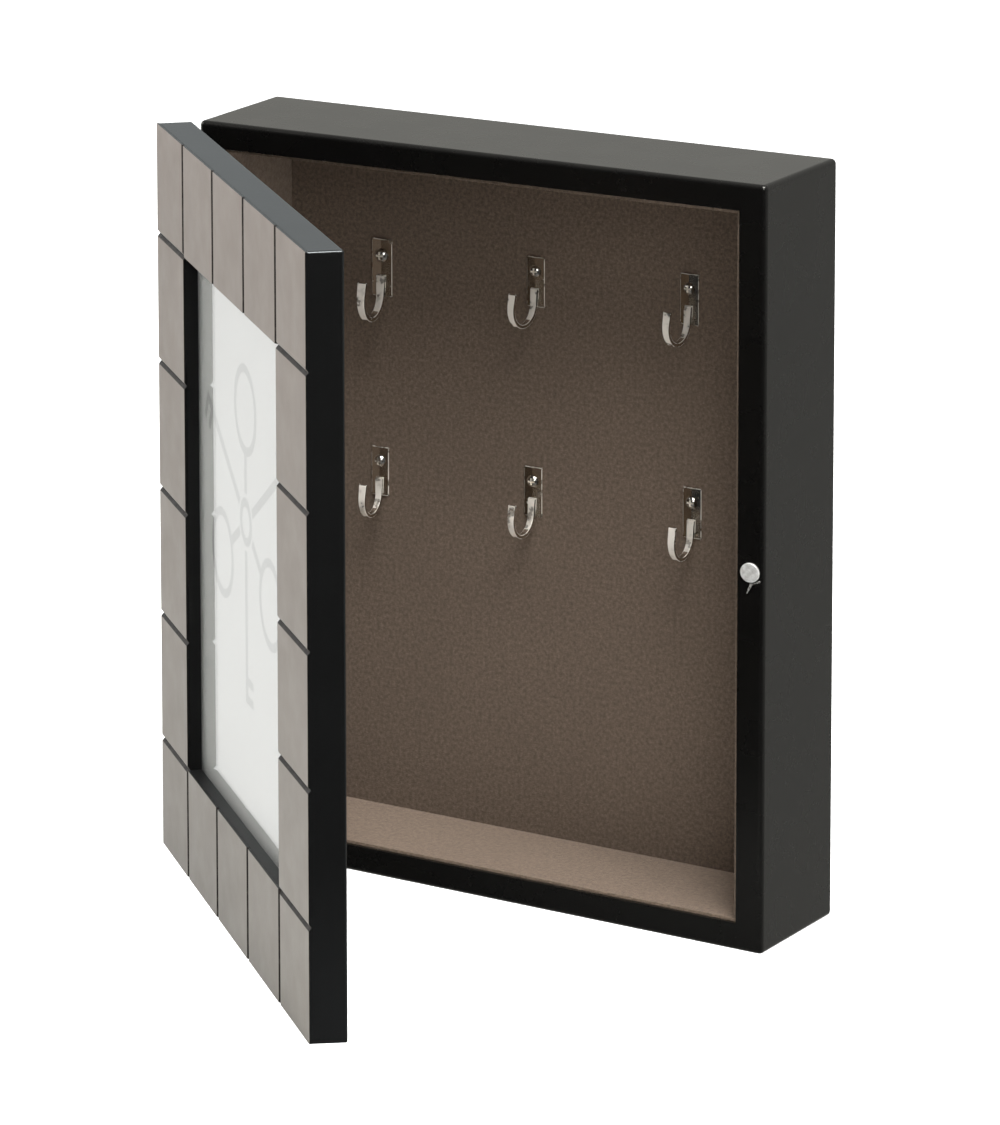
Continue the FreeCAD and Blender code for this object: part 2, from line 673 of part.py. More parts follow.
def case_nodes():
    """Every node that stays with the wall."""
    ring = case_ring()
    nodes = {
        "top_panel": mitred(ring, "top"),
        "bottom_panel": mitred(ring, "bottom"),
        "left_side_panel": mitred(ring, "left"),
        "right_side_panel": mitred(ring, "right"),
        "back_panel": back_panel(),
        "back_panel_brads": group(brad_list()),
        "back_lining": back_lining(),
        "left_lining": side_lining(-1),
        "right_lining": side_lining(1),
        "floor_lining": level_lining(-1),
        "top_lining": level_lining(1),
        "hook_screws": group([hook_screw(place) for place in HOOKS.values()]),
        "case_magnet": rounded_magnet(CASE_FRONT - MAGNET_PROUD, +1),
        "case_hinge_screws": group(case_hinge_screw_list(True)),
        "hinge_pins": group([hinge_pin(middle) for middle in hinge_heights()]),
        "left_hanger_plate": hanger_plate(-HANGER_SPACING / 2),
        "right_hanger_plate": hanger_plate(HANGER_SPACING / 2),
        "hanger_screws": group(hanger_screw_list(True)),
    }
    for name, place in HOOKS.items():
        nodes[name] = key_hook(place)
    holes = group(case_hinge_screw_list(False))
    for name, middle in zip(("lower_hinge_case_leaf", "upper_hinge_case_leaf"), hinge_heights()):
        nodes[name] = leaf(middle, +1).cut(holes)
    return nodes


def door_nodes():
    """Every node that swings with the door, in the shut position."""
    nodes = {
        "door_frame": door_frame(),
        "door_magnet": rounded_magnet(DOOR_BACK, -1),
        "door_hinge_screws": group(door_hinge_screw_list(True)),
        "turn_button_screws": group(button_screw_list()),
    }
    nodes.update(face_tiles())
    nodes.update(window_stack())
    holes = group(door_hinge_screw_list(False))
    for name, middle in zip(("lower_hinge_door_leaf", "upper_hinge_door_leaf"), hinge_heights()):
        nodes[name] = leaf(middle, -1).cut(holes)
    for name, side, x, z in button_places():
        nodes[name] = turn_button(side, x, z)
    return nodes


def main():
    os.makedirs("parts", exist_ok=True)
    for name, shape in case_nodes().items():
        shape.exportStep(f"parts/{name}.step")
    for name, shape in door_nodes().items():
        open_door(shape).exportStep(f"parts/{name}.step")


main()
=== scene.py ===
import json
import math

import bmesh
import bpy
from mathutils import Matrix, Vector


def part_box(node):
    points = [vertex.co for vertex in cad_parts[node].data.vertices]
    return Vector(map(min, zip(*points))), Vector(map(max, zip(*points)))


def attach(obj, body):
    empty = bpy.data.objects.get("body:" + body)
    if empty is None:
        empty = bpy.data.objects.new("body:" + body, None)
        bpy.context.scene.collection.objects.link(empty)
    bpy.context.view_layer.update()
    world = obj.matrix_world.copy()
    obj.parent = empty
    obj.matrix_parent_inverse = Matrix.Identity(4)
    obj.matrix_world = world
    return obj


# Looks for the wall-mounted key cabinet. Metres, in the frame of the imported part: X right, Y into the
# wall, Z up, with the origin in the middle of the wall face. At rest the door stands open.

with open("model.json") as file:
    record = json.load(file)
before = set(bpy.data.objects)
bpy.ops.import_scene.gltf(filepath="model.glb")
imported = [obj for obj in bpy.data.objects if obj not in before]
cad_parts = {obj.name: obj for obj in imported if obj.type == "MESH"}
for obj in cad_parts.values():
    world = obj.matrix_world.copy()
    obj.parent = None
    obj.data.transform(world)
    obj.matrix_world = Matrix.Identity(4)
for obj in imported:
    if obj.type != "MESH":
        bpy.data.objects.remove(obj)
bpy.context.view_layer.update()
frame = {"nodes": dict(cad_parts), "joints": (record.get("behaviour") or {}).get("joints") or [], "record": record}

NODES = frame["nodes"]
JOINTS = {joint["name"]: joint for joint in frame["joints"]}

# ---- sizes taken from the frame -----------------------------------------------------------------------

CASE_LOW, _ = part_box("left_side_panel")
_, CASE_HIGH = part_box("right_side_panel")
MAGNET_LOW, MAGNET_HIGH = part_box("case_magnet")
HINGE = Vector(JOINTS["door_hinge"]["pos_m"])
DOOR_OPEN = -JOINTS["door_hinge"]["range_deg"][0]       # degrees open at rest
TO_REST = (Matrix.Translation(HINGE) @ Matrix.Rotation(math.radians(-DOOR_OPEN), 4, "Z")
           @ Matrix.Translation(-HINGE))                # from the shut door to the door at rest
TO_SHUT = TO_REST.inverted()
DOOR_OUT = TO_REST.to_3x3() @ Vector((0, -1, 0))        # the way the door's face looks

MM = 0.001
MICRON = 0.001 * MM


def shut_box(node):
    """(lowest, highest corner) of a door node with the door shut."""
    points = [TO_SHUT @ vertex.co for vertex in NODES[node].data.vertices]
    low = Vector(min(point[axis] for point in points) for axis in range(3))
    high = Vector(max(point[axis] for point in points) for axis in range(3))
    return low, high


# ---- material building --------------------------------------------------------------------------------

MIX_SHARE, MIX_FIRST, MIX_SECOND = 0, 6, 7              # places of a Mix node's colour inputs
MIX_RESULT = 2                                          # and of its colour output
NOISE_SPAN = (0.3, 0.7)                                 # most of a noise's values lie between these


def shade(colour, factor):
    """A colour made lighter or darker."""
    return tuple(channel * factor for channel in colour)


class Finish:
    """A material being built around one Principled shader, with short ways to add nodes."""

    def __init__(self, name, **inputs):
        self.material = bpy.data.materials.new(name)
        self.material.use_nodes = True
        self.tree = self.material.node_tree
        self.surface = self.tree.nodes["Principled BSDF"]
        self.output = self.tree.nodes["Material Output"]
        self.place = self.add("ShaderNodeTexCoord").outputs["Object"]
        self.set(**inputs)

    def join(self, value, socket):
        """Give a socket a value, or the output of another node."""
        if isinstance(value, bpy.types.NodeSocket):
            self.tree.links.new(value, socket)
        elif isinstance(value, tuple) and len(value) == 3 and socket.type == "RGBA":
            socket.default_value = (*value, 1.0)
        else:
            socket.default_value = value

    def set(self, **inputs):
        """Set inputs of the Principled shader. An underscore in a name stands for a space."""
        for name, value in inputs.items():
            self.join(value, self.surface.inputs[name.replace("_", " ")])

    def add(self, kind, inputs=None, **settings):
        """A new node with some of its inputs and settings."""
        node = self.tree.nodes.new(kind)
        for name, value in settings.items():
            setattr(node, name, value)
        for name, value in (inputs or {}).items():
            self.join(value, node.inputs[name])
        return node

    def stretched(self, x, y, z):
        """Object coordinates scaled on each axis."""
        return self.add("ShaderNodeMapping", {"Vector": self.place, "Scale": (x, y, z)}).outputs["Vector"]

    def noise(self, scale, detail=3.0, rough=0.5, vector=None):
        """Noise from 0 to 1, with features about 1 / scale metres across."""
        inputs = {"Vector": vector or self.place, "Scale": scale, "Detail": detail, "Roughness": rough}
        return self.add("ShaderNodeTexNoise", inputs).outputs["Fac"]

    def cells(self, scale):
        """Distance to the nearest of many scattered points."""
        return self.add("ShaderNodeTexVoronoi", {"Vector": self.place, "Scale": scale}).outputs["Distance"]

    def fit(self, value, low, high, to_low=0.0, to_high=1.0):
        """Map a value from one range to another, held at both ends."""
        inputs = {"Value": value, "From Min": low, "From Max": high, "To Min": to_low, "To Max": to_high}
        return self.add("ShaderNodeMapRange", inputs).outputs["Result"]

    def spread(self, noise, to_low=0.0, to_high=1.0):
        """Stretch a noise to fill a range."""
        return self.fit(noise, *NOISE_SPAN, to_low, to_high)

    def calc(self, operation, first, second):
        """Arithmetic on two values."""
        return self.add("ShaderNodeMath", {0: first, 1: second}, operation=operation).outputs["Value"]

    def mix(self, share, first, second):
        """Blend from one colour to another."""
        inputs = {MIX_SHARE: share, MIX_FIRST: first, MIX_SECOND: second}
        return self.add("ShaderNodeMix", inputs, data_type="RGBA").outputs[MIX_RESULT]

    def vary(self, share, colour, darkest, lightest):
        """A colour that runs between two shades of itself."""
        return self.mix(share, shade(colour, darkest), shade(colour, lightest))

    def bump(self, *layers):
        """Stack height maps, each (height, depth in metres), into the surface's normal."""
        normal = None
        for height, depth in layers:
            inputs = {"Height": height, "Distance": depth, "Strength": 1.0}
            if normal is not None:
                inputs["Normal"] = normal
            normal = self.add("ShaderNodeBump", inputs).outputs["Normal"]
        self.set(Normal=normal)

    def blend(self, share, first, second):
        """Blend from one shader to another."""
        return self.add("ShaderNodeMixShader", {0: share, 1: first, 2: second}).outputs[0]

    def show(self, shader):
        """Make a shader the one that the material shows."""
        self.tree.links.new(shader, self.output.inputs["Surface"])

    def varnish(self, tint, roughness, ior):
        """Lay a tinted mirror over the surface, strongest at grazing sight."""
        normal = self.surface.inputs["Normal"].links[0].from_socket
        coat = self.add("ShaderNodeBsdfGlossy", {"Color": tint, "Roughness": roughness, "Normal": normal})
        strength = self.add("ShaderNodeFresnel", {"IOR": ior, "Normal": normal}).outputs["Fac"]
        self.show(self.blend(strength, self.surface.outputs[0], coat.outputs[0]))


# ---- finishes -----------------------------------------------------------------------------------------

def lacquer(name, colour, roughness, sheen, ior):
    """Satin black lacquer: a faint orange peel, cloudy gloss and a few specks of dust.

    sheen tints the gloss.
    """
    finish = Finish(name, IOR=1.25, Specular_IOR_Level=0.0)
    cloud = finish.noise(40, 4)
    base = finish.vary(cloud, colour, 0.8, 1.25)
    dust = finish.fit(finish.cells(420), 0.03, 0.08, 0.25, 0.0)
    finish.set(Base_Color=finish.mix(dust, base, (0.05, 0.048, 0.045)))
    gloss = finish.spread(finish.noise(70, 5), roughness - 0.02, roughness + 0.02)
    finish.set(Roughness=gloss)
    finish.bump((finish.noise(700, 2), 20 * MICRON), (finish.noise(3500, 1), 4 * MICRON))
    finish.varnish(sheen, gloss, ior)
    return finish.material


GREIGE_LOW = (0.222, 0.203, 0.174)                      # at the door's foot: its change to the head's tone is painted light
GREIGE_HIGH = (0.228, 0.192, 0.163)                     # at its head


def greige():
    """The tiles' satin greige face, with a faint grain in the paint and a painted change of light from foot to
    head.
    """
    finish = Finish("tile_face", IOR=1.35)
    height = finish.add("ShaderNodeSeparateXYZ", {"Vector": finish.place}).outputs["Z"]
    cloud = finish.noise(25, 3)
    grain = finish.noise(1, 4, 0.6, finish.stretched(1800, 1800, 260))
    low = finish.vary(cloud, GREIGE_LOW, 0.94, 1.06)
    high = finish.vary(cloud, GREIGE_HIGH, 0.94, 1.06)
    # Painted light: the greige changes tone from the door's foot to its head.
    base = finish.mix(finish.fit(height, CASE_LOW.z, CASE_HIGH.z), low, high)
    speck = finish.fit(grain, 0.35, 0.65, 0.0, 0.10)
    finish.set(Base_Color=finish.mix(speck, base, shade(GREIGE_LOW, 0.8)))
    finish.set(Roughness=finish.spread(finish.noise(90, 4), 0.36, 0.46))
    finish.bump((finish.noise(900, 2), 20 * MICRON), (grain, 6 * MICRON))
    return finish.material


def tile_edge():
    """The tiles' black bevels and the greige that ran over them."""
    finish = Finish("tile_edge", IOR=1.3)
    worn = finish.fit(finish.noise(450, 4), 0.45, 0.75)
    finish.set(Base_Color=finish.mix(worn, (0.014, 0.011, 0.009), (0.050, 0.040, 0.033)))
    finish.set(Roughness=finish.spread(finish.noise(800, 3), 0.35, 0.55))
    finish.bump((finish.noise(1500, 3), 40 * MICRON))
    return finish.material


def flock(name, colour):
    """Brown flocked card: short upright fibres that lighten towards the edge of sight."""
    finish = Finish(name, Specular_IOR_Level=0.1, Roughness=0.95)
    cloud = finish.noise(30, 4)
    fibre = finish.noise(2600, 3, 0.7)
    tuft = finish.noise(850, 4, 0.65)
    base = finish.vary(cloud, colour, 0.86, 1.14)
    tufted = finish.mix(finish.fit(tuft, 0.35, 0.65, 0.0, 0.9), base, shade(colour, 0.4))
    finish.set(Base_Color=finish.mix(finish.fit(fibre, 0.35, 0.7, 0.0, 0.75), tufted, shade(colour, 0.5)))
    finish.set(Sheen_Weight=0.6, Sheen_Roughness=0.45, Sheen_Tint=(0.78, 0.66, 0.56))
    finish.bump((fibre, 120 * MICRON), (finish.noise(700, 3), 80 * MICRON))
    return finish.material


def raw_board(name, colour):
    """Pressed fibre board: fine fibres and darker flecks."""
    finish = Finish(name, Roughness=0.85, Specular_IOR_Level=0.25)
    fibre = finish.noise(1, 5, 0.65, finish.stretched(500, 500, 1500))
    fleck = finish.fit(finish.noise(260, 5, 0.7), 0.55, 0.7)
    base = finish.vary(fibre, colour, 0.8, 1.25)
    finish.set(Base_Color=finish.mix(finish.calc("MULTIPLY", fleck, 0.5), base, shade(colour, 0.5)))
    finish.bump((fibre, 80 * MICRON), (finish.noise(180, 3), 60 * MICRON))
    return finish.material


def plated(name, colour, roughness):
    """Bright plated metal with handling marks and fine pits."""
    finish = Finish(name, Metallic=1.0)
    smudge = finish.noise(350, 4)
    pit = finish.fit(finish.cells(2600), 0.0, 0.12, 1.0, 0.0)
    base = finish.vary(smudge, colour, 0.88, 1.08)
    finish.set(Base_Color=finish.mix(finish.calc("MULTIPLY", pit, 0.3), base, shade(colour, 0.35)))
    finish.set(Roughness=finish.spread(smudge, roughness * 0.7, roughness * 1.4))
    finish.bump((finish.noise(1100, 3), 10 * MICRON))
    return finish.material


def painted_highlight_nickel():
    """Painted highlight on nickel: bright and matt, broken by patches that are still dark and polished."""
    finish = Finish("hook_painted_highlight")
    patch = finish.fit(finish.noise(300, 2), 0.5, 0.75)
    finish.set(Base_Color=finish.mix(patch, (0.83, 0.78, 0.70), (0.40, 0.37, 0.32)))
    finish.set(Metallic=finish.fit(patch, 0.0, 1.0, 0.35, 0.9))
    finish.set(Roughness=finish.fit(patch, 0.0, 1.0, 0.32, 0.2))
    finish.bump((finish.noise(1100, 3), 10 * MICRON))
    return finish.material


def brushed(name, colour, roughness):
    """Rolled steel strip, with fine lines along its length."""
    finish = Finish(name, Metallic=1.0)
    lines = finish.noise(1, 4, 0.6, finish.stretched(5000, 5000, 90))
    stain = finish.noise(240, 4)
    base = finish.vary(lines, colour, 0.82, 1.1)
    finish.set(Base_Color=finish.mix(finish.fit(stain, 0.5, 0.8, 0.0, 0.4), base, shade(colour, 0.6)))
    finish.set(Roughness=finish.spread(lines, roughness * 0.8, roughness * 1.3))
    finish.bump((lines, 12 * MICRON))
    return finish.material


def paper(name, colour):
    """Matt card with a slight tooth."""
    finish = Finish(name, Roughness=0.8, Specular_IOR_Level=0.25)
    tooth = finish.noise(2200, 4, 0.6)
    finish.set(Base_Color=finish.vary(finish.spread(tooth), colour, 0.975, 1.01))
    finish.bump((tooth, 12 * MICRON))
    return finish.material


def clear_glass():
    """Float glass that bends what is seen through it, but lets shadow and diffuse rays straight on."""
    finish = Finish("window_glass", IOR=1.5, Transmission_Weight=1.0)
    finish.set(Base_Color=(0.985, 0.99, 0.985))
    finish.set(Roughness=finish.fit(finish.noise(120, 5), 0.55, 0.8, 0.0, 0.02))
    path = finish.add("ShaderNodeLightPath").outputs
    clear = finish.add("ShaderNodeBsdfTransparent", {"Color": (0.93, 0.945, 0.94)}).outputs[0]
    passes = finish.calc("MAXIMUM", path["Is Shadow Ray"], path["Is Diffuse Ray"])
    finish.show(finish.blend(passes, finish.surface.outputs[0], clear))
    return finish.material


def magnet_plate():
    """Dull bright plating, cloudy and lightly scuffed."""
    finish = Finish("magnet_nickel", Metallic=0.55)
    cloud = finish.noise(900, 4, 0.6)
    finish.set(Base_Color=finish.mix(finish.spread(cloud), (0.50, 0.49, 0.46), (0.80, 0.80, 0.78)))
    finish.set(Roughness=finish.spread(cloud, 0.4, 0.6))
    finish.bump((cloud, 40 * MICRON))
    return finish.material


def dried_glue():
    """A thin clear smear, thicker in patches."""
    finish = Finish("dried_glue", Roughness=0.3, IOR=1.45)
    patch = finish.spread(finish.noise(1200, 3), 0.25, 0.6)
    finish.set(Base_Color=(0.45, 0.44, 0.41), Alpha=patch)
    finish.bump((finish.noise(1500, 2), 30 * MICRON))
    return finish.material


BLACK = (0.0022, 0.0020, 0.0019)
LINING_BROWN = (0.156, 0.115, 0.085)
FLOOR_PAINTED_LIGHT = 1.4             # painted light: how much lighter the floor's lining is made than the others
FINISHES = {
    "case_lacquer": lacquer("case_lacquer", BLACK, roughness=0.27, sheen=(0.96, 0.95, 0.88), ior=1.5),
    "door_lacquer": lacquer("door_lacquer", BLACK, roughness=0.25, sheen=(0.93, 0.99, 1.0), ior=1.58),
    "tile_face": greige(),
    "back_board": raw_board("back_board", (0.045, 0.038, 0.032)),
    "lining_card": flock("lining_card", LINING_BROWN),
    "hook_nickel": plated("hook_nickel", (0.72, 0.68, 0.62), roughness=0.2),
    "screw_nickel": plated("screw_nickel", (0.55, 0.53, 0.49), roughness=0.18),
    "magnet_nickel": magnet_plate(),
    "hinge_steel": brushed("hinge_steel", (0.50, 0.48, 0.44), roughness=0.3),
    "plated_fixings": plated("plated_fixings", (0.55, 0.53, 0.49), roughness=0.28),
    "hanger_steel": brushed("hanger_steel", (0.55, 0.55, 0.56), roughness=0.35),
    "button_steel": brushed("button_steel", (0.50, 0.49, 0.47), roughness=0.32),
    "window_glass": clear_glass(),
    "insert_paper": paper("insert_paper", (0.665, 0.645, 0.620)),
    "pad_cardboard": raw_board("pad_cardboard", (0.42, 0.31, 0.20)),
    "backing_hardboard": raw_board("backing_hardboard", (0.10, 0.07, 0.045)),
}


# ---- dressing the CAD nodes ---------------------------------------------------------------------------

WELD = 1 * MICRON                       # points closer than this are one point
SMOOTH_UP_TO = math.radians(12)         # edges sharper than this are shaded as creases
EASED_FROM = math.radians(35)           # edges sharper than this are rounded
EASE_STEPS = 2

TILE_EASE = 0.20 * MM                   # how far in from an edge the rounding starts
HOOK_EASE = 0.16 * MM
LINING_EASE = 0.15 * MM
FITTING_EASE = 0.12 * MM
WINDOW_EASE = 0.10 * MM
SCREW_EASE = 0.08 * MM

# A face's slope is told by the part of its normal that points along a given way.
FLAT_SLOPE = 0.99                       # a tile's flat face, along the way that the door looks
BEVEL_SLOPE = 0.5                       # its bevels, along the same way
UNDERSIDE_SLOPE = 0.3                   # a bevel on a lower edge, downwards, painted greige as a highlight
FRONT_SLOPE = 0.55                      # the front of a hook's J, away from the wall, which gets a painted highlight
CROSS_WALL_SLOPE = 0.3                  # at most this: the walls of a screw's cross
CROSS_FLOOR_SLOPE = 0.9995              # at least this: the floor of a screw's cross
HOOK_PLATE_REACH = 1.5 * MM             # the hooks' plates end nearer the lining than this


def unsplit_group():
    """A geometry node tree that joins faces along shared edges and shades them smooth up to an angle."""
    tree = bpy.data.node_groups.new("unsplit", "GeometryNodeTree")
    tree.interface.new_socket("Geometry", in_out="INPUT", socket_type="NodeSocketGeometry")
    tree.interface.new_socket("Geometry", in_out="OUTPUT", socket_type="NodeSocketGeometry")
    steps = [tree.nodes.new(kind) for kind in (
        "NodeGroupInput", "GeometryNodeRemoveAttribute", "GeometryNodeMergeByDistance",
        "GeometryNodeSetShadeSmooth", "GeometryNodeSetShadeSmooth", "NodeGroupOutput")]
    _, forget, merge, smooth, sharpen, _ = steps
    forget.inputs["Name"].default_value = "custom_normal"
    merge.inputs["Distance"].default_value = WELD
    smooth.inputs["Shade Smooth"].default_value = True
    sharpen.domain = "EDGE"
    sharpen.inputs["Shade Smooth"].default_value = False
    is_sharp = tree.nodes.new("FunctionNodeCompare")
    is_sharp.operation = "GREATER_THAN"
    is_sharp.inputs["B"].default_value = SMOOTH_UP_TO
    angle = tree.nodes.new("GeometryNodeInputMeshEdgeAngle")
    tree.links.new(angle.outputs["Unsigned Angle"], is_sharp.inputs["A"])
    tree.links.new(is_sharp.outputs["Result"], sharpen.inputs["Selection"])
    for before, after in zip(steps, steps[1:]):
        tree.links.new(before.outputs[0], after.inputs[0])
    return tree


UNSPLIT = unsplit_group()


def ease_edges(obj, width):
    """Round every sharp edge of a flat-faced piece a little."""
    join = obj.modifiers.new("unsplit", "NODES")
    join.node_group = UNSPLIT
    bevel = obj.modifiers.new("ease", "BEVEL")
    bevel.width = width
    bevel.segments = EASE_STEPS
    bevel.limit_method = "ANGLE"
    bevel.angle_limit = EASED_FROM
    bevel.harden_normals = True
    return bevel


def dress(node, slot):
    """Give a CAD node the finish of its material slot."""
    mesh = NODES[node].data
    mesh.materials.clear()
    mesh.materials.append(FINISHES[slot])


def dress_tiles():
    """Greige on each tile's face and, as a painted highlight, on its bevels that face down; worn black on its
    other bevels and the door's lacquer on its square sides.
    """
    face_slot, bevel_slot, side_slot = range(3)
    edge = tile_edge()
    for name, obj in NODES.items():
        if not name.startswith("face_tile"):
            continue
        obj.data.materials.append(edge)
        obj.data.materials.append(FINISHES["door_lacquer"])
        for face in obj.data.polygons:
            outward = face.normal.dot(DOOR_OUT)
            painted_underside_highlight = face.normal.z < -UNDERSIDE_SLOPE
            # Bevels that face down take the face's greige: a painted highlight along the top of each groove.
            if outward > FLAT_SLOPE or (outward > BEVEL_SLOPE and painted_underside_highlight):
                face.material_index = face_slot
            elif outward > BEVEL_SLOPE:
                face.material_index = bevel_slot
            else:
                face.material_index = side_slot
        ease_edges(obj, TILE_EASE)


def dress_reveal():
    """A duller lacquer on the sides of the window's opening."""
    low, high = shut_box("window_glass")
    dull = lacquer("door_reveal", BLACK, roughness=0.4, sheen=(0.55, 0.56, 0.56), ior=1.5)
    for name, obj in NODES.items():
        if name != "door_frame" and not name.startswith("face_tile"):
            continue
        obj.data.materials.append(dull)
        for face in obj.data.polygons:
            centre = TO_SHUT @ face.center
            inside = low.x <= centre.x <= high.x and low.z <= centre.z <= high.z
            if inside and abs(face.normal.dot(DOOR_OUT)) < BEVEL_SLOPE:
                face.material_index = len(obj.data.materials) - 1


def dress_hooks():
    """Polished nickel, with a painted highlight on the front of the J, along the edges and in the screws' crosses.
    """
    painted_highlight = painted_highlight_nickel()
    painted_highlight_slot = 1
    lining_low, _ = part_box("back_lining")
    plate_limit = lining_low.y - HOOK_PLATE_REACH       # faces in front of this aren't the plate's
    for name, obj in NODES.items():
        if not name.startswith("key_hook"):
            continue
        obj.data.materials.append(painted_highlight)
        for face in obj.data.polygons:
            # The J's faces that look away from the wall get the painted highlight.
            if face.center.y < plate_limit and face.normal.y < -FRONT_SLOPE:
                face.material_index = painted_highlight_slot
        bevel = ease_edges(obj, HOOK_EASE)
        bevel.use_clamp_overlap = False
        # Its rounded edges get the painted highlight too.
        bevel.material = painted_highlight_slot
    screws = NODES["hook_screws"]
    screws.data.materials.append(painted_highlight)
    for face in screws.data.polygons:
        # The walls and floor of each screw's cross get the painted highlight.
        is_cross = abs(face.normal.y) < CROSS_WALL_SLOPE or face.normal.y < -CROSS_FLOOR_SLOPE
        if is_cross and face.center.y < plate_limit:
            face.material_index = painted_highlight_slot
    ease_edges(screws, SCREW_EASE)


def dress_cad():
    """Give every CAD node its finishes and eased edges."""
    for part in frame["record"]["subparts"]:
        dress(part["node"], part["material_slot"])
    dress_tiles()
    dress_reveal()
    dress_hooks()
    # The floor's lining is made lighter than the other linings: painted light.
    NODES["floor_lining"].data.materials[0] = flock("floor_lining", shade(LINING_BROWN, FLOOR_PAINTED_LIGHT))
    for name in ("left_lining", "right_lining", "floor_lining", "top_lining"):
        ease_edges(NODES[name], LINING_EASE)
    for name in ("window_glass", "insert_card", "insert_pad", "backing_board"):
        ease_edges(NODES[name], WINDOW_EASE)
    for name in NODES:
        if name.startswith("turn_button") or "_leaf" in name or "_plate" in name:
            ease_edges(NODES[name], FITTING_EASE)


# ---- new pieces ---------------------------------------------------------------------------------------

def piece(name, bm, finish, body):
    """Turn a bmesh into a piece that rides on a CAD body."""
    mesh = bpy.data.meshes.new(name)
    bmesh.ops.recalc_face_normals(bm, faces=bm.faces)
    bm.to_mesh(mesh)
    bm.free()
    mesh.materials.append(finish)
    obj = bpy.data.objects.new(name, mesh)
    bpy.context.scene.collection.objects.link(obj)
    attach(obj, body)


def row(bm, points, y):
    """Add points, given as (x, z), to bm at one depth."""
    return [bm.verts.new((x, y, z)) for x, z in points]


def plate(bm, outline, thick):
    """Add a flat plate to bm, rising towards the viewer from depth 0."""
    low = row(bm, outline, 0.0)
    top = row(bm, outline, -thick)
    for index in range(len(outline)):
        after = (index + 1) % len(outline)
        bm.faces.new((low[index], low[after], top[after], top[index]))
    bm.faces.new(top)
    bm.faces.new(low[::-1])


def washer(bm, outer, inner, thick):
    """Add a flat plate with a hole to bm. Its outline and the hole's have as many points."""
    low, low_hole = row(bm, outer, 0.0), row(bm, inner, 0.0)
    top, top_hole = row(bm, outer, -thick), row(bm, inner, -thick)
    for index in range(len(outer)):
        after = (index + 1) % len(outer)
        bm.faces.new((low[index], low[after], top[after], top[index]))
        bm.faces.new((low_hole[index], top_hole[index], top_hole[after], low_hole[after]))
        bm.faces.new((top[index], top[after], top_hole[after], top_hole[index]))
        bm.faces.new((low[index], low_hole[index], low_hole[after], low[after]))


CIRCLE_POINTS = 40


def circle(x, z, radius):
    """Points round a circle."""
    turns = [2 * math.pi * index / CIRCLE_POINTS for index in range(CIRCLE_POINTS)]
    return [(x + radius * math.cos(turn), z + radius * math.sin(turn)) for turn in turns]


INK_THICK = 20 * MICRON
PRINT_RISE = 14 * MM            # centre of the print above the card's centre
RING_R = 8 * MM                 # outer radius of the ring in the middle
BOW_AT = 37 * MM                # from there to the middle of a key's bow
BOW_R = 15 * MM
BOW_LINE = 3 * MM               # width of the ring and the bows
SHAFT = 3.2 * MM
BIT_REACH = 60 * MM             # from the middle to the end of a key
BIT_WIDE = 7 * MM
BIT_TALL = 3 * MM               # height of each of the bit's two teeth, and of the gap between them


def bar(bm, x0, x1, z0, z1):
    """A printed rectangle."""
    plate(bm, [(x0, z0), (x1, z0), (x1, z1), (x0, z1)], INK_THICK)


def ring(bm, z, radius, width):
    """A printed ring."""
    washer(bm, circle(0, z, radius), circle(0, z, radius - width), INK_THICK)


def upright_key():
    """A plain key, bow up, with the middle of the print at the origin."""
    bm = bmesh.new()
    ring(bm, BOW_AT, BOW_R, BOW_LINE)
    bar(bm, -SHAFT / 2, SHAFT / 2, RING_R + BOW_LINE / 2, BOW_AT - BOW_R)
    bar(bm, -SHAFT / 2, SHAFT / 2, -BIT_REACH, -RING_R - BOW_LINE / 2)
    for tooth_low in (-BIT_REACH, -BIT_REACH + 2 * BIT_TALL):
        bar(bm, SHAFT / 2, SHAFT / 2 + BIT_WIDE, tooth_low, tooth_low + BIT_TALL)
    return bm


def printed_card():
    """Three plain keys printed in pale grey, crossed on a ring in the middle of the card."""
    ink = paper("card_ink", (0.44, 0.428, 0.41))
    card_low, _ = shut_box("insert_card")
    middle = TO_REST @ Matrix.Translation((0, card_low.y, PRINT_RISE))
    for name, turn in (("print_key_upright", 0), ("print_key_right", 120), ("print_key_left", 240)):
        bm = upright_key()
        bm.transform(middle @ Matrix.Rotation(math.radians(turn), 4, "Y"))
        piece(name, bm, ink, "door")
    bm = bmesh.new()
    ring(bm, 0, RING_R, BOW_LINE)
    bm.transform(middle)
    piece("print_ring", bm, ink, "door")


GLUE_THICK = 50 * MICRON
# Points along each smear: (right, up, half the width) from the magnet's middle, in magnet radii.
GLUE_CURVE = ((0.3, -1.12, 0.10), (0.7, -1.0, 0.16), (1.0, -0.72, 0.08))
GLUE_RUN = ((0.15, -1.1, 0.16), (-0.05, -1.6, 0.12), (-0.35, -2.2, 0.05))


def glue_smears():
    """Two thin smears of glue below the case's magnet."""
    finish = dried_glue()
    centre = (MAGNET_LOW + MAGNET_HIGH) / 2
    radius = (MAGNET_HIGH.z - MAGNET_LOW.z) / 2
    for name, points in (("glue_smear_curve", GLUE_CURVE), ("glue_smear_run", GLUE_RUN)):
        left = [(centre.x + (x - half) * radius, centre.z + z * radius) for x, z, half in points]
        right = [(centre.x + (x + half) * radius, centre.z + z * radius) for x, z, half in points]
        bm = bmesh.new()
        plate(bm, left + right[::-1], GLUE_THICK)
        bmesh.ops.translate(bm, verts=bm.verts, vec=(0, CASE_LOW.y, 0))
        piece(name, bm, finish, "case")


# ---- studio -------------------------------------------------------------------------------------------

FLOOR_REACH = 30
FLOOR_GAP = 0.2 * MM            # between the cabinet's foot and the floor
FLOOR_GLOW = (0.15, 0.6)        # the floor's own light: what falls on the cabinet, what the camera sees
POOL_LEVEL = 0.30               # brightness of the pool of light that mirrors see on the floor
POOL_PLACE = (0.10, -0.15, 0.0)
POOL_REACH = (0.03, 0.15)       # where the pool starts to fade and where it ends

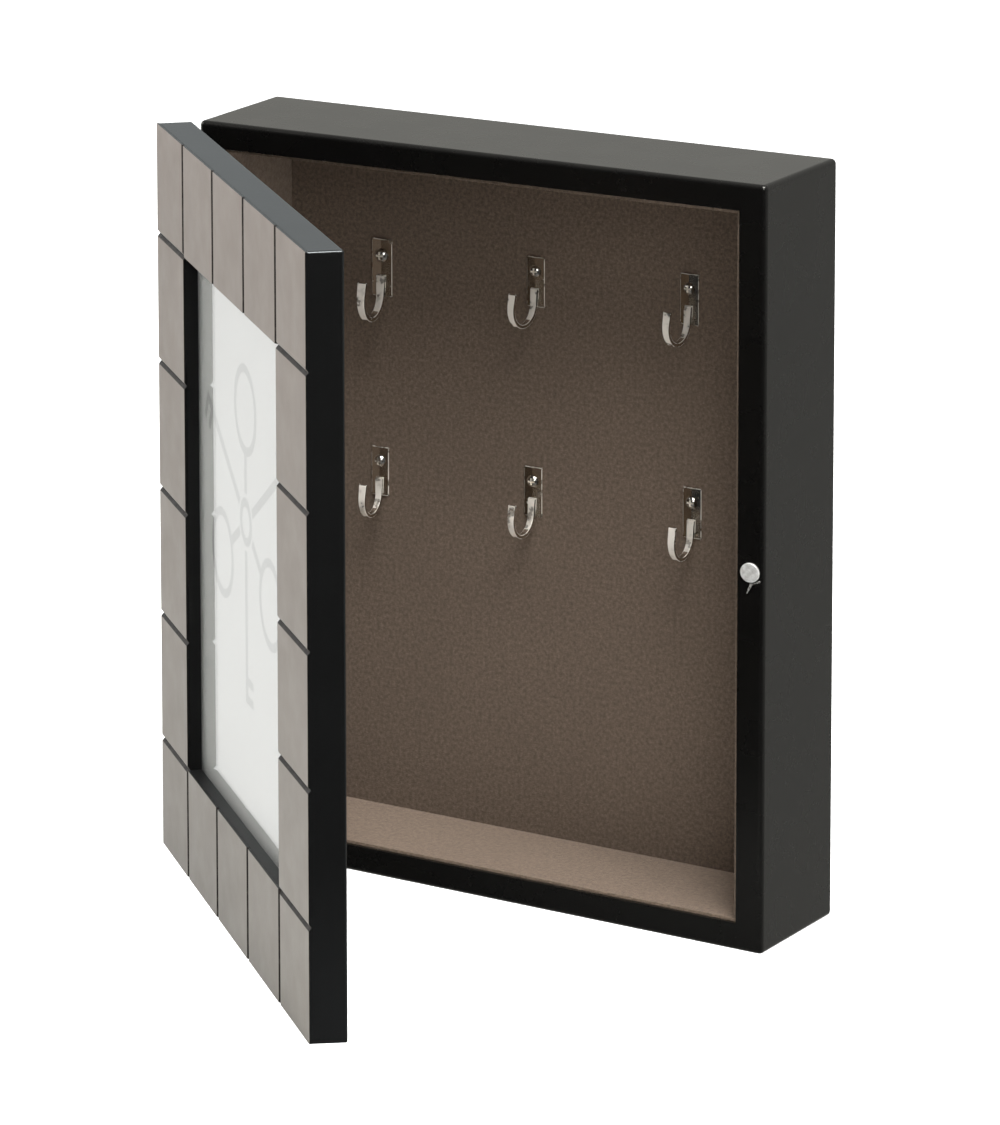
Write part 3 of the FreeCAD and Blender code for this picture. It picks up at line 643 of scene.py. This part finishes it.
# The room that light rays and mirrors see: a level that changes from one side to another. Each line has
# the way it changes, the cosines to that way between which it does, and the levels before and after.
ROOM_LEFT = ((-0.944, 0, -0.33), (0.4, 1.0), (0.345, 0.96))     # brightest low on the left
ROOM_FRONT = ((0, -1, 0), (-0.1, 0.7), (1.0, 0.08))             # as shares: dark in front of the cabinet
ROOM_ABOVE = ((0, 0, 1), (0.0, 0.2), (1.0, 1.25))               # and brighter above the horizon

LIGHTS = {                      # place, width, power in watts
    "key_light": ((0.75, -0.72, 1.96), 1.2, 90),
    "side_light": ((1.16, -1.66, 0.97), 0.8, 10),
    "fill_light": ((-1.79, -0.70, 1.10), 1.2, 15),
}


def pale_floor():
    """A plain pale studio floor. The camera sees it white, and mirrors see only a pool of light on it."""
    finish = Finish("pale_floor", Roughness=0.9, Specular_IOR_Level=0.1)
    tone = finish.noise(3, 2)
    path = finish.add("ShaderNodeLightPath").outputs
    glow = finish.fit(path["Is Camera Ray"], 0.0, 1.0, *FLOOR_GLOW)
    finish.set(Base_Color=finish.mix(tone, (0.90, 0.90, 0.895), (0.92, 0.92, 0.915)))
    finish.set(Emission_Color=(1.0, 1.0, 1.0), Emission_Strength=glow)
    finish.bump((finish.noise(300, 2), 20 * MICRON))
    away = finish.add("ShaderNodeVectorMath", {0: finish.place, 1: POOL_PLACE}, operation="DISTANCE")
    inside = finish.fit(away.outputs["Value"], *POOL_REACH, 1.0, 0.0)
    pool = finish.add("ShaderNodeEmission", {"Strength": POOL_LEVEL}).outputs[0]
    clear = finish.add("ShaderNodeBsdfTransparent").outputs[0]
    mirrored = finish.blend(inside, clear, pool)
    finish.show(finish.blend(path["Is Glossy Ray"], finish.surface.outputs[0], mirrored))
    return finish.material


def studio_floor():
    """A wide floor at the cabinet's foot."""
    bm = bmesh.new()
    bmesh.ops.create_grid(bm, x_segments=1, y_segments=1, size=FLOOR_REACH)
    mesh = bpy.data.meshes.new("floor")
    bm.to_mesh(mesh)
    bm.free()
    mesh.materials.append(pale_floor())
    floor = bpy.data.objects.new("floor", mesh)
    floor.location = (0, 0, CASE_LOW.z - FLOOR_GAP)
    bpy.context.scene.collection.objects.link(floor)


def sky_ramp(tree, place, way, reach, levels):
    """A brightness that runs between two levels as the sight line turns towards way."""
    side = tree.nodes.new("ShaderNodeVectorMath")
    side.operation = "DOT_PRODUCT"
    side.inputs[1].default_value = way
    fade = tree.nodes.new("ShaderNodeMapRange")
    fade.interpolation_type = "SMOOTHSTEP"
    for name, value in zip(("From Min", "From Max", "To Min", "To Max"), reach + levels):
        fade.inputs[name].default_value = value
    tree.links.new(place.outputs["Generated"], side.inputs[0])
    tree.links.new(side.outputs["Value"], fade.inputs["Value"])
    return fade.outputs["Result"]


def studio_world():
    """A white sky for the camera, and a room for everything else: bright on the left, dark in front."""
    world = bpy.data.worlds.new("studio")
    bpy.context.scene.world = world
    world.use_nodes = True
    tree = world.node_tree
    room = tree.nodes["Background"]
    backdrop = tree.nodes.new("ShaderNodeBackground")
    backdrop.inputs["Color"].default_value = (1, 1, 1, 1)
    both = tree.nodes.new("ShaderNodeMixShader")
    path = tree.nodes.new("ShaderNodeLightPath")
    place = tree.nodes.new("ShaderNodeTexCoord")
    level = sky_ramp(tree, place, *ROOM_LEFT)
    for change in (ROOM_FRONT, ROOM_ABOVE):
        product = tree.nodes.new("ShaderNodeMath")
        product.operation = "MULTIPLY"
        tree.links.new(level, product.inputs[0])
        tree.links.new(sky_ramp(tree, place, *change), product.inputs[1])
        level = product.outputs["Value"]
    tree.links.new(level, room.inputs["Color"])
    tree.links.new(path.outputs["Is Camera Ray"], both.inputs[0])
    tree.links.new(room.outputs[0], both.inputs[1])
    tree.links.new(backdrop.outputs[0], both.inputs[2])
    tree.links.new(both.outputs[0], tree.nodes["World Output"].inputs["Surface"])


def softbox(name, place, width, power):
    """A large soft light, aimed at the origin."""
    data = bpy.data.lights.new(name, "AREA")
    data.size = width
    data.energy = power
    lamp = bpy.data.objects.new(name, data)
    lamp.location = place
    lamp.rotation_euler = (-Vector(place)).to_track_quat("-Z", "Y").to_euler()
    bpy.context.scene.collection.objects.link(lamp)


# The photograph's camera looks past the cabinet and its lens is shifted back onto it.
CAMERA_PLACE = Vector((0.9510, -1.8268, 0.5442))
CAMERA_AZIMUTH = math.radians(43.852)
CAMERA_ELEVATION = math.radians(8.745)
CAMERA_ROLL = math.radians(-2.527)
CAMERA_FOCUS = 6.1325                   # focal length, in picture widths
CAMERA_SHIFT = (1.7293, -0.7050)
SENSOR_WIDTH = 36                       # millimetres, as Blender gives a camera's lens
NEAREST = 0.05                          # anything nearer than this isn't drawn
HOME_REACH = 0.2                        # beyond this the camera has left its place


def keep_near(data, setting, value, eye, home):
    """Drive a camera setting: value at home, nothing once the camera is HOME_REACH away."""
    curve = data.driver_add(setting)
    curve.driver.type = "SUM"
    gap = curve.driver.variables.new()
    gap.type = "LOC_DIFF"
    gap.targets[0].id = eye
    gap.targets[1].id = home
    for modifier in list(curve.modifiers):
        curve.modifiers.remove(modifier)
    for distance, setting_there in ((0.0, value), (HOME_REACH / 2, value), (HOME_REACH, 0.0)):
        point = curve.keyframe_points.insert(distance, setting_there)
        point.interpolation = "LINEAR"
    curve.extrapolation = "CONSTANT"


def camera():
    """The photograph's camera. Its lens shift falls to nothing once it leaves its place."""
    data = bpy.data.cameras.new("camera")
    data.sensor_fit = "HORIZONTAL"
    data.sensor_width = SENSOR_WIDTH
    data.lens = CAMERA_FOCUS * SENSOR_WIDTH
    data.clip_start = NEAREST
    eye = bpy.data.objects.new("camera", data)
    turn = (Matrix.Rotation(CAMERA_AZIMUTH, 3, "Z") @ Matrix.Rotation(math.pi / 2 - CAMERA_ELEVATION, 3, "X")
            @ Matrix.Rotation(CAMERA_ROLL, 3, "Z"))
    eye.matrix_world = Matrix.Translation(CAMERA_PLACE) @ turn.to_4x4()
    home = bpy.data.objects.new("camera_home", None)
    home.location = CAMERA_PLACE
    for obj in (eye, home):
        bpy.context.scene.collection.objects.link(obj)
    for axis, shift in zip(("shift_x", "shift_y"), CAMERA_SHIFT):
        keep_near(data, axis, shift, eye, home)
    bpy.context.scene.camera = eye


dress_cad()
printed_card()
glue_smears()
studio_floor()
studio_world()
for light, (place, width, power) in LIGHTS.items():
    softbox(light, place, width, power)
camera()
bpy.context.scene.view_settings.view_transform = "Standard"
